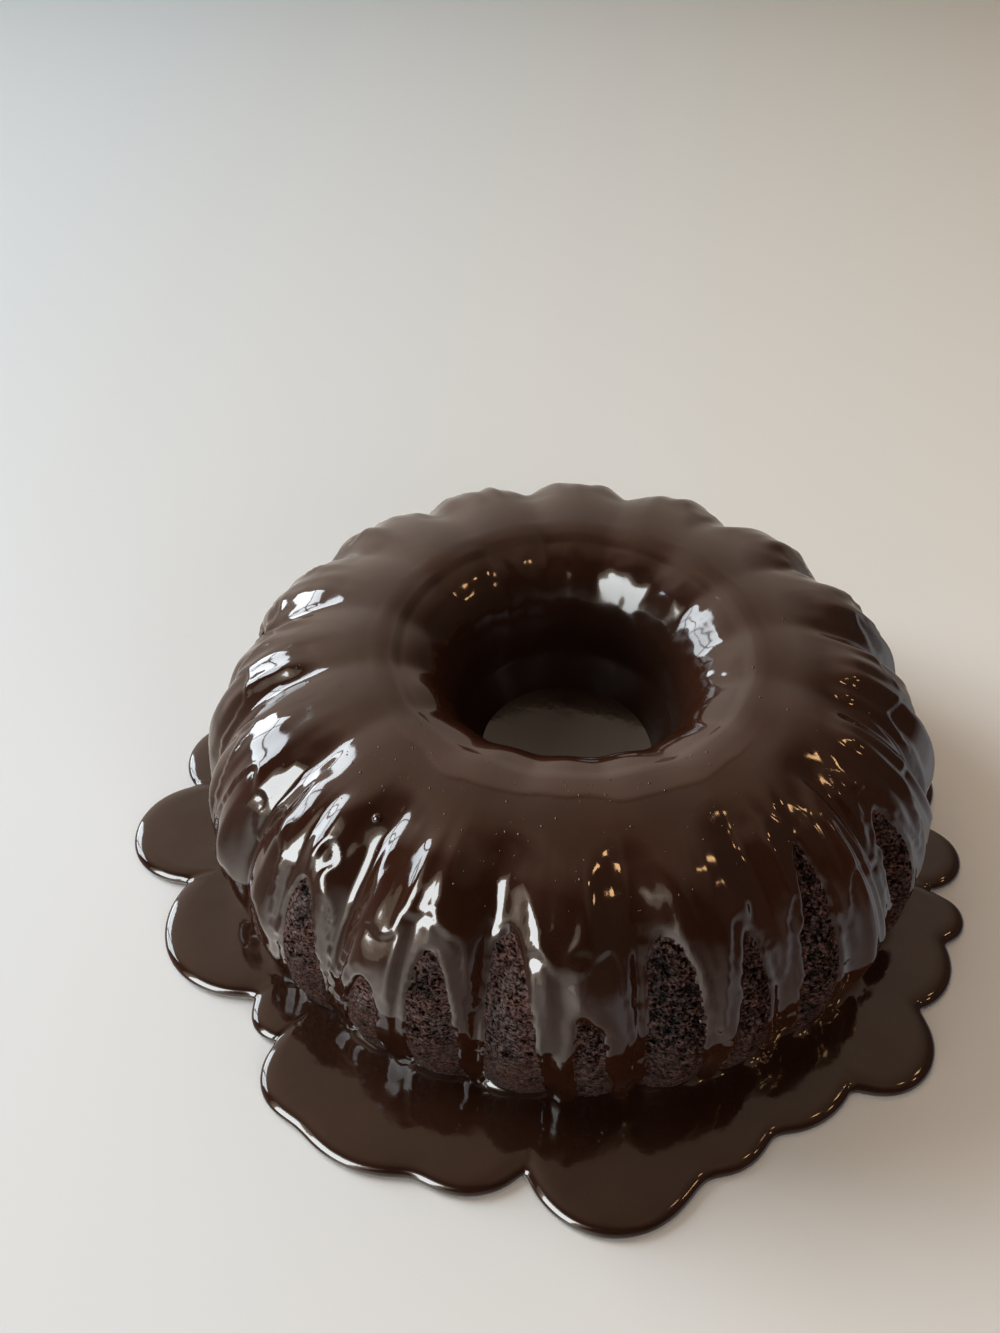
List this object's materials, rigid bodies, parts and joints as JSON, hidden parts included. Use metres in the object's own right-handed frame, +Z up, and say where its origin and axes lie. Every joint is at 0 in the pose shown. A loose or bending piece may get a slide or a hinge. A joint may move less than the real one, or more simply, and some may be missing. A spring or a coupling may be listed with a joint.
{
  "type": "chocolate bundt cake",
  "caption": "Fluted ring-shaped chocolate cake under a glossy poured chocolate glaze that runs between bare arches of crumb and pools round the foot and in the centre hole.",
  "frame": {"origin": "on the cake's axis, at the surface that it stands on", "axes": "+Z up along the axis of the ring, -Y towards the front that the picture shows, +X to the viewer's right"},
  "size_m": [0.2637, 0.2742, 0.0712],
  "materials": {
    "crumb": "open dark chocolate crumb, matt",
    "glaze": "poured dark chocolate glaze, wet gloss"
  },
  "bodies": {
    "root": {"sponge": "crumb", "glaze_coat": "glaze", "glaze_pool": "glaze", "glaze_well": "glaze"}
  },
  "joints": []
}
